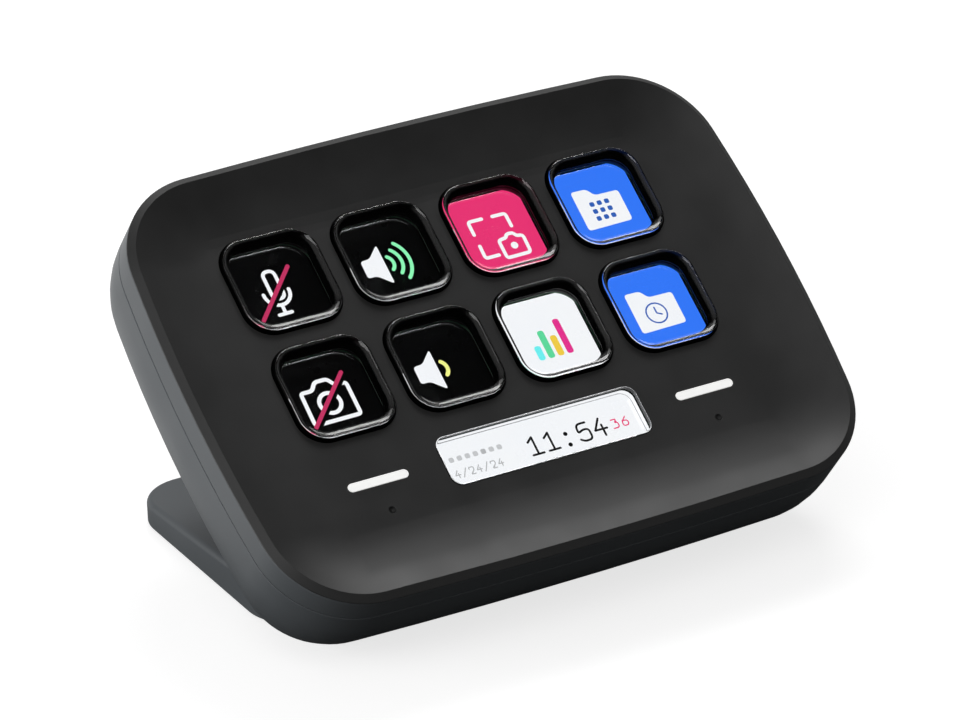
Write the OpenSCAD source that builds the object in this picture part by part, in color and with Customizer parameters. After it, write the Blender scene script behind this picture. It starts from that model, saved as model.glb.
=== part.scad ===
// Small desk keypad: eight clear sprung keys over one display panel, an information window and two touch
// bars in a dished faceplate, all in a two-part housing that a flat stand holds at a fixed lean.
// The face is drawn lying flat (x to the right, y up the face, z out of it, z = 0 on the crest of its rim)
// and then leant back over the desk. Depths are measured down from the crest.

/* [Face] */
// Width of the face across the middle of its sides
face_w = 107; // [105:0.5:114]
// Height of the face, measured up its slope
face_h = 77.3; // [76:0.1:84]
// How far the left and right sides turn from their middle to their ends, in degrees
side_turn = 5.1; // [3.5:0.1:6]
// How far the top and bottom edges turn from their middle to their ends, in degrees
top_turn = 1.6; // [0.8:0.1:2.4]
// Corner radius of the face
corner_r = 15.2; // [14.8:0.1:18]
// Lean of the face, measured up from the desk
face_tilt = 35.4; // [30:0.1:42]

/* [Faceplate] */
// Wall of the faceplate
plate_t = 1.6; // [1.4:0.1:1.8]
// Drop of the dished floor below the crest of the rim
dish_depth = 2.65; // [2.2:0.05:3]
// Width of the dished slope, from the crest to the flat floor
dish_run = 12.4; // [10:0.2:12.6]
// Width of the outer chamfer of the rim
rim_w = 1.2; // [0.8:0.1:1.4]
// Drop of the outer chamfer of the rim
rim_drop = 0.8; // [0.5:0.1:1.1]
// Height of the faceplate's own square edge under the chamfer
edge_h = 0.2; // [0.1:0.05:0.4]
// Thickness of the locating rib inside the rim
rib_t = 1.2; // [0.8:0.1:1.4]

/* [Keys] */
// Number of key columns
key_cols = 4; // [4:1:4]
// Number of key rows
key_rows = 2; // [2:1:2]
// Distance between key columns
key_pitch_x = 19.5; // [19.4:0.1:20]
// Distance between key rows
key_pitch_y = 19.6; // [19.4:0.1:20]
// Height of the key block's middle above the middle of the face
keys_y = 7.6; // [7:0.1:8.4]
// Side of a square key
key_w = 15.3; // [14.9:0.1:15.5]
// Corner radius of a key
key_r = 3.8; // [3.2:0.1:4.4]
// Gap round a key in the faceplate
key_gap = 0.3; // [0.2:0.05:0.45]
// How far a key stands proud of the dished floor
key_proud = 1.6; // [1.3:0.1:1.9]
// Radius of the key's outer top edge
key_edge_r = 0.7; // [0.5:0.05:0.9]
// Width of the slope inside the key's rim
key_slope_w = 0.55; // [0.4:0.05:0.8]
// Depth of the key's window below its rim
key_window_d = 0.35; // [0.2:0.05:0.5]
// Travel of a key
key_travel = 0.9; // [0.6:0.05:0.95]
// Overhang of the flange that keeps a key in
flange_out = 1.05; // [0.9:0.05:1.1]
// Thickness of the key's flange
flange_t = 0.8; // [0.6:0.05:0.9]
// Play between the flange and the faceplate when the key is up
flange_play = 0.1; // [0.05:0.05:0.15]

/* [Info window and touch bars] */
// Length of the information window
info_w = 35.9; // [34:0.1:37]
// Height of the information window
info_h = 8.6; // [8:0.1:9]
// Corner radius of the information window
info_r = 1.8; // [1.2:0.1:2.2]
// Distance of the window's middle below the middle of the face
info_drop = 18.45; // [18.2:0.05:19]
// How far the window stands proud of the dished floor
info_proud = 0.2; // [0.1:0.05:0.4]
// Length of a touch bar
bar_l = 10.4; // [9:0.1:12]
// Thickness of a touch bar
bar_t = 1.4; // [1:0.1:1.8]
// Distance of each touch bar's middle from the middle of the face
bar_x = 29.3; // [28.8:0.1:31]
// Distance of the touch bars below the middle of the face
bar_drop = 18.3; // [17.6:0.1:19]
// Diameter of the locating dimple below each touch bar
dimple_d = 1.2; // [0.8:0.1:1.6]
// Distance from a touch bar down to its dimple
dimple_drop = 5.2; // [4.6:0.1:5.6]

/* [Housing] */
// Depth of the housing from the rim's crest to its back
body_d = 26.2; // [25.6:0.1:29]
// Wall of the housing
wall = 1.8; // [1.6:0.1:2.1]
// Depth of the parting line behind the crest
parting_d = 5.5; // [5.3:0.1:6.4]
// Width of the groove at the parting line
parting_gap = 0.25; // [0.15:0.05:0.35]
// Radius of the soft edge from the sides into the back
side_round = 20; // [18.6:0.2:21]
// Radius of the tighter edge that runs into the flat back
back_round = 11; // [10:0.2:11.6]
// Length of the frame's tongue inside the rear shell
tongue_l = 1.8; // [1.4:0.1:2.2]
// Thickness of the frame's tongue
tongue_t = 0.8; // [0.6:0.05:0.9]
// Width of a snap hook
hook_w = 8; // [6:0.5:10]
// How far a snap hook's barb reaches into the rear shell
hook_barb = 0.7; // [0.5:0.05:0.8]

/* [Display and boards] */
// Length of the display panel
lcd_w = 82.9; // [82:0.1:84]
// Height of the display panel
lcd_h = 54.7; // [54:0.1:56]
// Thickness of the display glass
lcd_t = 1.2; // [1:0.1:1.4]
// Thickness of the backlight tray
backlight_t = 1.9; // [1.6:0.1:2.1]
// How far the panel's driver edge puts its middle off the middle of the face
lcd_shift = 2.9; // [2.4:0.1:3.2]
// Height of the panel's middle above the middle of the face
lcd_y = 0.9; // [0.6:0.1:1.2]
// Thickness of the switch board
switch_board_t = 0.3; // [0.2:0.05:0.4]
// Thickness of the silicone mat
mat_t = 0.4; // [0.3:0.05:0.5]
// Thickness of the main board
board_t = 1.6; // [1:0.1:1.6]
// Length of the main board
board_w = 76; // [70:1:78]
// Height of the main board
board_h = 48; // [44:0.5:49]
// Height of the main board's middle above the middle of the face
board_y = 6; // [5:0.5:7]
// Width of the display ribbon and the switch board's tail
ribbon_w = 20; // [16:1:24]
// Thickness of the display ribbon
ribbon_t = 0.3; // [0.2:0.05:0.35]

/* [Cable inlet] */
// Height of the cable inlet above the middle of the face
usb_y = 22; // [19:0.5:23]
// Width of the inlet's mouth
usb_w = 8.94; // [8.9:0.02:9]
// Height of the inlet's mouth
usb_h = 3.26; // [3.2:0.02:3.3]

/* [Stand] */
// Width of the stand plate
stand_w = 88; // [84:0.5:92]
// Thickness of the stand plate at its back edge
stand_t = 3.4; // [3:0.1:4]
// Slope of the plate's top, which thickens it towards the body
stand_slope = 3.5; // [2:0.1:5]
// Corner radius of the stand plate
stand_r = 8; // [6:0.5:10]
// Radius of the plate's upper edge
stand_edge_r = 1; // [0.6:0.1:1.4]
// Width of the stand's neck
neck_w = 60; // [50:1:64]
// Distance from the plate's toe to the back of the neck
neck_l = 19; // [17:0.5:22]
// Radius of the hollow where the neck meets the plate
neck_fillet = 4; // [3:0.25:5]
// Gap between the housing's lowest line and the desk
desk_gap = 0.7; // [0.5:0.05:0.9]
// Height of the stand plate above the desk
stand_lift = 0.6; // [0.4:0.05:0.65]
// Thickness of the rubber pad
pad_t = 1; // [0.8:0.05:1.2]
// Margin from the plate's edges to the pad
pad_margin = 4; // [3:0.25:6]

/* [Screws] */
// Thread diameter of the screws
screw_d = 2; // [1.8:0.1:2.2]
// Head diameter of the screws
head_d = 3.8; // [3.4:0.1:4]
// Head height of the screws
head_t = 1.3; // [1:0.1:1.5]

/* [Hidden] */
$fn = 96;

black = "#262626";
slate = "#5f6366";
clear = "#d8e4ea";

bite = 0.5; // how far a cut runs past the face it opens
fit = 0.05; // clearance between pieces that seat on each other
loose = 0.2; // clearance round pieces that drop into a pocket
arc_fn = 512; // facets of a full turn of the long, shallow arcs in previews

// ---- outline of the face: four long arcs joined by four corner arcs ----

inner = [face_w / 2 - corner_r, face_h / 2 - corner_r];
side_swell = tan(side_turn / 2); // height of the side's arc for each unit of half its length
top_swell = tan(top_turn / 2);
corner_c = [inner.x - side_swell * inner.y, inner.y - top_swell * inner.x] / (1 - side_swell * top_swell);
side_arc_r = corner_r + corner_c.y / sin(side_turn);
top_arc_r = corner_r + corner_c.x / sin(top_turn);
section_in = -corner_r + fit; // inner edge of a swept section

// Moves in a coarse, a middling and a fine step, so that exporting a move with few digits doesn't keep
// neighbouring sectors from meeting.
module move_to(at) {
    coarse = [for (v = at) round(v)];
    middling = [for (v = at - coarse) round(v * 1000) / 1000];
    translate(coarse) translate(middling) translate(at - coarse - middling) children();
}

// Turns a section round a centre.
module sector(centre, radius, from, angle, facets) {
    move_to(centre) rotate_extrude(angle = angle, start = from, $fn = facets) move_to([radius, 0]) children();
}

// Sweeps a section round the outline. The section's x runs from section_in to 0 on the outline.
module swept() {
    for (mx = [0, 1], my = [0, 1]) mirror([mx, 0, 0]) mirror([0, my, 0])
        sector(corner_c, corner_r, side_turn, 90 - side_turn - top_turn, $fn) children();
    for (mx = [0, 1]) mirror([mx, 0, 0])
        sector([face_w / 2 - side_arc_r, 0], side_arc_r, -side_turn, 2 * side_turn, arc_fn) children();
    for (my = [0, 1]) mirror([0, my, 0])
        sector([0, face_h / 2 - top_arc_r], top_arc_r, 90 - top_turn, 2 * top_turn, 4 * arc_fn) children();
}

// Fills the middle that a swept section leaves, between two depths.
module core(top_d, bottom_d) {
    slab([2 * (inner.x + 2 * fit), 2 * (corner_c.y + 2 * fit)], top_d, bottom_d);
    slab([2 * (corner_c.x + 2 * fit), 2 * (inner.y + 2 * fit)], top_d, bottom_d);
}

// ---- small shapes ----

// Points along an arc. Sections are swept round corners tighter than their own arcs, where only straight
// steps sweep exactly.
function arc(c, r, from, to, steps) = [for (i = [0:steps]) let (a = from + (to - from) * i / steps)
    c + r * [cos(a), sin(a)]];

// A box centred on the axis, between two depths.
module slab(size, top_d, bottom_d) {
    translate([-size.x / 2, -size.y / 2, -bottom_d]) cube([size.x, size.y, bottom_d - top_d]);
}

// A flat slot with half-round ends.
module slot(l, w) {
    square([l - w, w], center = true);
    for (x = [-1, 1]) translate([x * (l - w) / 2, 0]) circle(w / 2);
}
module slot_slab(l, w, top_d, bottom_d) {
    translate([0, 0, -bottom_d]) linear_extrude(bottom_d - top_d) slot(l, w);
}

// A flat rectangle with round corners.
module rounded(size, r) {
    for (a = [[size.x, size.y - 2 * r], [size.x - 2 * r, size.y]]) square(a, center = true);
    for (x = [-1, 1], y = [-1, 1]) translate([x * (size.x / 2 - r), y * (size.y / 2 - r)]) circle(r);
}

// The same as a plate between two depths.
module rounded_slab(size, r, top_d, bottom_d) {
    translate([0, 0, -bottom_d]) linear_extrude(bottom_d - top_d) rounded(size, r);
}

// Sweeps a section round a rectangle with round corners. The section's x runs from -r to 0 on the outline.
module swept_rounded(size, r) {
    for (mx = [0, 1], my = [0, 1])
        mirror([mx, 0, 0]) mirror([0, my, 0]) translate([size.x / 2 - r, size.y / 2 - r])
            rotate_extrude(angle = 90) translate([r, 0]) children();
    for (mx = [0, 1])
        mirror([mx, 0, 0]) translate([size.x / 2, size.y / 2 - r, 0]) rotate([90, 0, 0])
            linear_extrude(size.y - 2 * r) children();
    for (my = [0, 1])
        mirror([0, my, 0]) translate([-size.x / 2 + r, size.y / 2, 0]) rotate([90, 0, 90])
            linear_extrude(size.x - 2 * r) children();
}

// A round hole or pin between two depths.
module peg(d, top_d, bottom_d) {
    translate([0, 0, -bottom_d]) cylinder(d = d, h = bottom_d - top_d);
}

// A pan-head screw whose head lies against a depth and whose thread points out of the face.
module screw_up(under_head_d, thread_l) {
    peg(screw_d, under_head_d - thread_l, under_head_d);
    peg(head_d, under_head_d, under_head_d + head_t);
}

// ---- levels, as depths below the crest ----

floor_d = dish_depth;
under_d = dish_depth + plate_t;
frame_top_d = rim_drop + edge_h;
flange_top_d = under_d + flange_play;
flange_bottom_d = flange_top_d + flange_t;
mat_top_d = flange_bottom_d + key_travel + 0.25; // the flange stops short of the mat
mat_bottom_d = mat_top_d + mat_t;
switch_bottom_d = mat_bottom_d + switch_board_t;
lcd_top_d = switch_bottom_d + 0.1; // adhesive film
lcd_bottom_d = lcd_top_d + lcd_t;
tray_bottom_d = lcd_bottom_d + backlight_t;
mid_top_d = tray_bottom_d + 0.1;
mid_t = 1.4;
mid_bottom_d = mid_top_d + mid_t;
board_top_d = mid_bottom_d + 1.5; // height of the standoffs
board_bottom_d = board_top_d + board_t;
key_top_d = floor_d - key_proud;
key_bottom_d = mat_top_d + key_edge_r - 1; // the clear block reaches into the mat's window

// ---- placing ----

// Two arcs round the housing's back edge: the soft one turns half-way, the tighter one does the rest.
turn = 45;
straight_d = body_d - side_round * sin(turn) - back_round * (1 - sin(turn));
soft_c = [-side_round, -straight_d];
tight_c = soft_c + (side_round - back_round) * [cos(turn), -sin(turn)];
back_steps = 7;
back_flat = -tight_c.x; // inset at which the flat back begins
low_y = face_h / 2 + tight_c.x;
lowest = -sin(face_tilt) * low_y + cos(face_tilt) * tight_c.y - back_round;
front_y = -cos(face_tilt) * face_h / 2 + sin(face_tilt) * frame_top_d;
back_y = cos(face_tilt) * (face_h / 2 + soft_c.x) + sin(face_tilt) * straight_d + side_round;
face_pos = [0, -(front_y + back_y) / 2, desk_gap - lowest];

module on_face() {
    translate(face_pos) rotate([face_tilt, 0, 0]) children();
}

// How far the soft edge has drawn in at a depth, and how far a long top or bottom arc falls at a place along it.
function back_in(d) = side_round - sqrt(side_round * side_round - pow(max(d - straight_d, 0), 2));
function top_fall(x) = top_arc_r - sqrt(top_arc_r * top_arc_r - x * x);

key_nodes = [for (row = [0:key_rows - 1], col = [0:key_cols - 1]) [col, row]];
function key_at(i) = [
    (key_nodes[i].x - (key_cols - 1) / 2) * key_pitch_x,
    keys_y + ((key_rows - 1) / 2 - key_nodes[i].y) * key_pitch_y
];
module at_keys() {
    for (i = [0:len(key_nodes) - 1]) translate(key_at(i)) children();
}
module at_bars() {
    for (x = [-bar_x, bar_x]) translate([x, -bar_drop]) children();
}

flange_w = key_w + 2 * flange_out;
info_flange = 1.3; // ledge round the information window, under the faceplate

// Screw places
boss_d = screw_d + 1.6;
pilot_d = screw_d + 2 * fit;
frame_screw_in = wall + back_in(mid_bottom_d + head_t) + loose + head_d / 2; // from the outline to a screw
frame_screw_xy = [for (x = [-34, 0, 34], y = [-1, 1]) [x, y * (face_h / 2 - top_fall(x) - frame_screw_in)]];
board_screw_xy = [for (x = [-1, 1], y = [-1, 1]) [x * (board_w / 2 - 3), board_y + y * (board_h / 2 - 3)]];
stand_screw_xy = [for (x = [-1, 1], y = [-19, -9]) [x * (neck_w / 2 - 8), y]];

// ---- faceplate ----

dish_r = (dish_run * dish_run + dish_depth * dish_depth) / (2 * dish_depth);
dish_c = [-rim_w - dish_run, dish_r - dish_depth];
dish_steps = 8;

function at_x(c, r, x) = asin((x - c.x) / r) - 90; // turn at which an arc's lower half passes x
boss_in = frame_screw_in + boss_d / 2; // from the outline to a boss's far side
boss_top_d = plate_t / 2
    + (boss_in > rim_w + dish_run ? floor_d : sqrt(dish_r * dish_r - pow(-boss_in - dish_c.x, 2)) - dish_c.y);

module faceplate_section() {
    rib_in = -wall - fit - rib_t;
    polygon(concat(
        [[section_in, -under_d], [section_in, -floor_d]],
        arc(dish_c, dish_r, -90, at_x(dish_c, dish_r, -rim_w), dish_steps),
        [[0, -rim_drop], [0, -frame_top_d], [-wall - fit, -frame_top_d], [-wall - fit, -under_d], [rib_in, -under_d]],
        // hollow under the slope, between the locating rib and the flat floor
        arc(dish_c, dish_r + plate_t, at_x(dish_c, dish_r + plate_t, rib_in), -90, dish_steps)
    ));
}

module faceplate() {
    color(black) on_face() difference() {
        union() {
            swept() faceplate_section();
            core(floor_d, under_d);
            for (p = frame_screw_xy) translate(p) peg(boss_d, boss_top_d, mid_top_d - fit);
        }
        at_keys() rounded_slab([key_w + 2 * key_gap, key_w + 2 * key_gap], key_r + key_gap, -bite, under_d + bite);
        translate([0, -info_drop])
            rounded_slab([info_w + 2 * fit, info_h + 2 * fit], info_r + fit, -bite, under_d + bite);
        at_bars() slot_slab(bar_l + 2 * fit, bar_t + 2 * fit, -bite, under_d + bite);
        at_bars() translate([0, -dimple_drop, -floor_d]) sphere(d = dimple_d);
        for (p = frame_screw_xy) translate(p) peg(pilot_d, under_d, mid_top_d);
    }
}

// ---- housing ----

// Where the snap hooks stand: the side's angle, its distance and arc radius, and the hook's place along it.
hook_places = [
    for (side = [0, 180], along = [-17, 17]) [side, face_w / 2, side_arc_r, along],
    for (side = [90, 270], along = [-22, 22]) [side, face_h / 2, top_arc_r, along]
];
hook_top_d = under_d + fit;
hook_end_d = parting_d + tongue_l + 4.2;
hook_in = wall + 0.35; // outer face of a hook, inside the shell's wall
hook_t = 1.1;

module at_hooks(side_gap = 0) {
    for (h = hook_places)
        rotate(h[0]) translate([h[1] - h[2], 0, 0]) rotate(asin(h[3] / h[2])) translate([h[2], 0, 0])
            rotate([90, 0, 0]) translate([0, 0, -hook_w / 2 - side_gap]) linear_extrude(hook_w + 2 * side_gap) children();
}

module front_frame() {
    color(slate) on_face() {
        swept() {
            difference() {
                translate([-wall, -parting_d]) square([wall, parting_d - frame_top_d]);
                // soft outer front edge
                translate([0, -frame_top_d]) rotate(45) square(0.25, center = true);
            }
            translate([-wall + fit, -parting_d - tongue_l]) square([tongue_t, tongue_l + bite]);
        }
        at_hooks() polygon([
            [-wall + bite, -hook_top_d], [-hook_in - hook_t, -hook_top_d],
            [-hook_in - hook_t, -hook_end_d], [-hook_in, -hook_end_d],
            [-hook_in + hook_barb, -hook_end_d + 1.2], [-hook_in + hook_barb, -hook_end_d + 1.7],
            [-hook_in, -hook_end_d + 1.7], [-hook_in, -parting_d - tongue_l], [-wall + bite, -parting_d - 0.2]
        ]);
    }
}

// The housing's soft back edge, grown outwards by a clearance, from its side to its flat back.
function back_edge(grow) = concat(
    arc(soft_c, side_round + grow, 0, -turn, back_steps), arc(tight_c, back_round + grow, -turn, -90, back_steps)
);

module shell_section(top_d) {
    inside = back_edge(-wall);
    polygon(concat(
        [[-wall, -top_d], [0, -top_d]], back_edge(0), [[section_in, -body_d], [section_in, wall - body_d]],
        [for (i = [len(inside) - 1:-1:0]) inside[i]]
    ));
}

module usb_outline(margin) {
    slot(usb_w + 2 * margin, usb_h + 2 * margin);
}

module rear_shell() {
    color(slate) on_face() difference() {
        union() {
            swept() shell_section(parting_d + parting_gap);
            core(body_d - wall, body_d);
        }
        // rebate for the frame's tongue
        swept() translate([-wall - bite, -parting_d - tongue_l - fit])
            square([tongue_t + 2 * fit + bite, tongue_l + bite]);
        // pockets for the hooks' barbs
        at_hooks(fit) translate([-hook_in - bite, -hook_end_d - 0.1]) square([hook_barb + bite + fit, 2.4]);
        translate([0, usb_y, -body_d - bite]) linear_extrude(wall + 2 * bite) usb_outline(loose);
        translate([0, usb_y, -body_d - bite]) linear_extrude(bite + 0.6) usb_outline(1.9);
        for (p = stand_screw_xy) translate(p) peg(screw_d + loose, body_d - wall - bite, body_d + bite);
    }
}

// ---- stand ----

// The housing's lower edge and back, drawn straight across the stand: what the stand keeps clear of.
module body_prism() {
    on_face() mirror([0, 1, 0]) translate([-stand_w / 2 - bite, face_h / 2, 0]) rotate([90, 0, 90])
        linear_extrude(stand_w + 2 * bite)
            polygon(concat([[-face_h, 0], [fit, 0]], back_edge(fit), [[-face_h, -body_d - fit]]));
}

stand_back_y = face_pos.y + back_y;
stand_front_y = face_pos.y - sin(face_tilt) * tight_c.y - cos(face_tilt) * low_y + 5;
stand_l = stand_back_y - stand_front_y;
stand_y = (stand_back_y + stand_front_y) / 2;
slab_h = 10;

module stand_section() {
    difference() {
        translate([-stand_r, -slab_h]) square([stand_r, slab_h]);
        difference() {
            translate([-stand_edge_r, -stand_edge_r]) square(stand_edge_r + bite);
            translate([-stand_edge_r, -stand_edge_r]) circle(stand_edge_r);
        }
    }
}

module neck_section() {
    difference() {
        translate([-stand_r / 2, 0]) square([stand_r / 2 + neck_fillet, neck_fillet]);
        translate([neck_fillet, neck_fillet]) circle(neck_fillet);
    }
}

module stand() {
    color(slate) difference() {
        union() {
            // plate: a slab with a soft upper edge, its top sloping up towards the body
            intersection() {
                translate([0, stand_back_y, stand_lift + stand_t]) rotate([-stand_slope, 0, 0])
                    translate([0, -stand_l / 2, 0]) {
                        swept_rounded([stand_w, stand_l], stand_r) stand_section();
                        slab([stand_w - 2 * stand_r, stand_l - 2 * stand_r], 0, slab_h);
                    }
                translate([-stand_w, stand_front_y - stand_l, stand_lift]) cube([2 * stand_w, 3 * stand_l, slab_h]);
            }
            // neck: a block with a hollow foot
            translate([0, stand_front_y + neck_l / 2, stand_lift + stand_t]) {
                translate([0, 0, -stand_t + 1]) linear_extrude(30) rounded([neck_w, neck_l], stand_r / 2);
                translate([0, 0, 0.3]) swept_rounded([neck_w, neck_l], stand_r / 2) neck_section();
            }
        }
        body_prism();
        on_face() for (p = stand_screw_xy) translate(p) peg(pilot_d, body_d - bite, body_d + 4.5);
        translate([0, 0, -bite]) linear_extrude(bite + pad_t) pad_outline(fit);
    }
}

module pad_outline(margin) {
    translate([0, stand_y]) rounded(
        [stand_w - 2 * pad_margin + 2 * margin, stand_l - 2 * pad_margin + 2 * margin], stand_r - pad_margin + 1
    );
}

module stand_pad() {
    color("#1c1c1c") linear_extrude(pad_t) pad_outline(0);
}

// ---- keys ----

module key_section() {
    difference() {
        translate([-key_r, -key_bottom_d]) square([key_r, key_bottom_d - key_top_d]);
        difference() {
            translate([-key_edge_r, -key_top_d - key_edge_r]) square(key_edge_r + bite);
            translate([-key_edge_r, -key_top_d - key_edge_r]) circle(key_edge_r);
        }
        polygon([
            [-key_edge_r, -key_top_d + bite], [-key_edge_r, -key_top_d],
            [-key_edge_r - key_slope_w, -key_top_d - key_window_d],
            [-key_r - bite, -key_top_d - key_window_d], [-key_r - bite, -key_top_d + bite]
        ]);
    }
}

module key(i) {
    color(clear, 0.5) on_face() translate(key_at(i)) {
        swept_rounded([key_w, key_w], key_r) key_section();
        slab([key_w - 2 * key_r, key_w - 2 * key_r], key_top_d + key_window_d, key_bottom_d);
        difference() {
            rounded_slab([flange_w, flange_w], key_r + flange_out, flange_top_d, flange_bottom_d);
            rounded_slab([key_w - 1, key_w - 1], key_r - 0.5, flange_top_d - bite, flange_bottom_d + bite);
        }
    }
}
module key_1() { key(0); }
module key_2() { key(1); }
module key_3() { key(2); }
module key_4() { key(3); }
module key_5() { key(4); }
module key_6() { key(5); }
module key_7() { key(6); }
module key_8() { key(7); }

// ---- key stack ----

stack_w = (key_cols - 1) * key_pitch_x + flange_w + 6;
stack_h = (key_rows - 1) * key_pitch_y + flange_w + 4;
stack_low = keys_y - stack_h / 2;
pocket_w = flange_w + 2 * loose;

module key_frame() {
    color("#2e2e30") on_face() difference() {
        translate([0, keys_y]) rounded_slab([stack_w, stack_h], 3, under_d + fit, mat_top_d);
        at_keys() rounded_slab([pocket_w, pocket_w], key_r + flange_out + loose, under_d - bite, mat_top_d + bite);
        translate([0, -info_drop]) slab(
            [info_w + 2 * (info_flange + loose), info_h + 2 * (info_flange + loose)], under_d - bite, mat_top_d + bite
        );
    }
}

module silicone_mat() {
    skirt_w = flange_w - 0.5;
    color("#3b3b3e") on_face() {
        difference() {
            translate([0, keys_y]) rounded_slab([stack_w, stack_h], 3, mat_top_d, mat_bottom_d);
            at_keys() rounded_slab([key_w + 0.5, key_w + 0.5], key_r + 0.25, mat_top_d - bite, mat_bottom_d + bite);
        }
        // the skirts that spring each key back
        at_keys() difference() {
            rounded_slab([skirt_w, skirt_w], key_r + 0.8, flange_bottom_d + fit, mat_top_d + fit);
            rounded_slab([skirt_w - 1, skirt_w - 1], key_r + 0.3, flange_bottom_d, mat_top_d + 2 * fit);
        }
    }
}

// The switch board runs down past the keys to carry the lamps of the touch bars.
switch_low = lcd_y - lcd_h / 2;
switch_h = keys_y + stack_h / 2 - switch_low;
module switch_board() {
    color("#1f5c3a") on_face() difference() {
        translate([0, switch_low + switch_h / 2]) rounded_slab([stack_w, switch_h], 2, mat_bottom_d, switch_bottom_d);
        at_keys() rounded_slab([key_w + 0.5, key_w + 0.5], key_r + 0.25, mat_bottom_d - bite, switch_bottom_d + bite);
        translate([0, -info_drop])
            rounded_slab([info_w + 1, info_h + 1], info_r + 0.5, mat_bottom_d - bite, switch_bottom_d + bite);
    }
}

// A strip that leaves a board edge, turns down past the mid frame and turns back under the main board.
module tail(start_x, start_d, turn_x, end_x, end_d, thick) {
    rotate([90, 0, 0]) translate([0, 0, -ribbon_w / 2]) linear_extrude(ribbon_w) {
        translate([start_x, -start_d]) square([turn_x - start_x, thick]);
        translate([turn_x - thick, -end_d]) square([thick, end_d - start_d + thick]);
        translate([end_x, -end_d]) square([turn_x - end_x, thick]);
    }
}

module switch_tail() {
    color("#b8752e") on_face() mirror([1, 0, 0]) translate([0, lcd_y])
        tail(stack_w / 2, switch_bottom_d, stack_w / 2 + 3.2, board_w / 2 - 4, board_bottom_d + 0.8, switch_board_t);
}

// ---- information window and touch bars ----

module lens_section() {
    difference() {
        translate([-info_r, -lcd_top_d + fit]) square([info_r, lcd_top_d - fit - floor_d + info_proud]);
        difference() {
            translate([-0.5, -floor_d + info_proud - 0.5]) square(0.5 + bite);
            translate([-0.5, -floor_d + info_proud - 0.5]) circle(0.5);
        }
    }
}

module info_lens() {
    color(clear, 0.5) on_face() translate([0, -info_drop]) {
        swept_rounded([info_w, info_h], info_r) lens_section();
        slab([info_w - 2 * info_r, info_h - 2 * info_r], floor_d - info_proud, lcd_top_d - fit);
        difference() {
            rounded_slab([info_w + 2 * info_flange, info_h + 2 * info_flange], info_r + info_flange,
                under_d + fit, under_d + 0.8);
            rounded_slab([info_w - 1, info_h - 1], info_r - 0.5, under_d, under_d + 1);
        }
    }
}

led_t = 0.6;
module light_bar(side) {
    color("white") on_face() translate([side * bar_x, -bar_drop]) {
        slot_slab(bar_l, bar_t, floor_d - 0.05, mat_bottom_d - led_t - fit);
        difference() {
            slot_slab(bar_l + 1.6, bar_t + 1.6, under_d + 0.3, under_d + 1);
            slot_slab(bar_l - 0.4, bar_t - 0.4, under_d, under_d + 2);
        }
    }
}
module light_bar_left() { light_bar(-1); }
module light_bar_right() { light_bar(1); }

module bar_leds() {
    color("#f4f0d8") on_face() at_bars() for (x = [-1, 0, 1])
        translate([x * bar_l / 3.2, 0]) slab([1.6, 0.8], mat_bottom_d - led_t, mat_bottom_d);
}

// Sense electrode of a touch bar: a foil on the faceplate's back, with a slot for the bar.
module touch_pad(side) {
    color("#c27c3a") on_face() translate([side * bar_x, -bar_drop]) difference() {
        rounded_slab([bar_l + 4, bar_t + 6], 1.5, under_d, under_d + 0.2);
        slot_slab(bar_l + 1, bar_t + 1, under_d - bite, under_d + bite);
    }
}
module touch_pad_left() { touch_pad(-1); }
module touch_pad_right() { touch_pad(1); }

// ---- display ----

module at_lcd() {
    on_face() translate([lcd_shift, lcd_y]) children();
}

module lcd_glass() {
    color("#101418") at_lcd() slab([lcd_w, lcd_h], lcd_top_d, lcd_bottom_d);
}

module lcd_backlight() {
    color("silver") at_lcd() rounded_slab([lcd_w, lcd_h], 0.6, lcd_bottom_d, tray_bottom_d);
}

module lcd_ribbon() {
    lcd_end = lcd_shift + lcd_w / 2;
    end_d = board_bottom_d + 0.8;
    turn_x = (lcd_end + face_w / 2 - wall - back_in(end_d)) / 2; // half-way between the panel and the shell
    color("#b8752e") on_face() translate([0, lcd_y])
        tail(lcd_end, lcd_bottom_d, turn_x, board_w / 2 - 4, end_d, ribbon_t);
}

// ---- mid frame and boards ----

tray_gap = 0.3;
tray_wall = 1.2;
mid_w = 2 * (lcd_w / 2 + tray_gap + tray_wall);
mid_in = wall + back_in(mid_bottom_d) + loose; // from the outline to the mid frame

module mid_frame() {
    color("#2b2d30") on_face() difference() {
        union() {
            // plate: the housing's own outline, drawn in, and cut to the tray's width
            intersection() {
                union() {
                    swept() translate([section_in, -mid_bottom_d]) square([-section_in - mid_in, mid_t]);
                    core(mid_top_d, mid_bottom_d);
                }
                translate([lcd_shift, 0]) slab([mid_w, face_h], mid_top_d - bite, mid_bottom_d + bite);
            }
            translate([lcd_shift, lcd_y]) difference() {
                rounded_slab([mid_w, lcd_h + 2 * (tray_gap + tray_wall)], 1.5, lcd_top_d, mid_top_d + fit);
                slab([lcd_w + 2 * tray_gap, lcd_h + 2 * tray_gap], 0, mid_top_d);
            }
            for (p = board_screw_xy) translate(p) peg(boss_d, mid_bottom_d - fit, board_top_d);
        }
        // notches that let the ribbon and the tail pass
        for (x = [lcd_shift - mid_w / 2, lcd_shift + mid_w / 2])
            translate([x, lcd_y]) slab([2 * (tray_wall + fit), ribbon_w + 2], 0, mid_bottom_d + bite);
        for (p = frame_screw_xy) translate(p) {
            peg(screw_d + loose, mid_top_d - bite, mid_bottom_d + bite);
            peg(boss_d + 2 * loose, 0, mid_top_d);
        }
        at_hooks(loose) translate([-hook_in - hook_t - loose, -hook_end_d - loose])
            square([2 * hook_t, hook_end_d + loose]);
        for (p = board_screw_xy) translate(p) peg(pilot_d, mid_top_d + 0.3, board_top_d + bite);
    }
}

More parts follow.
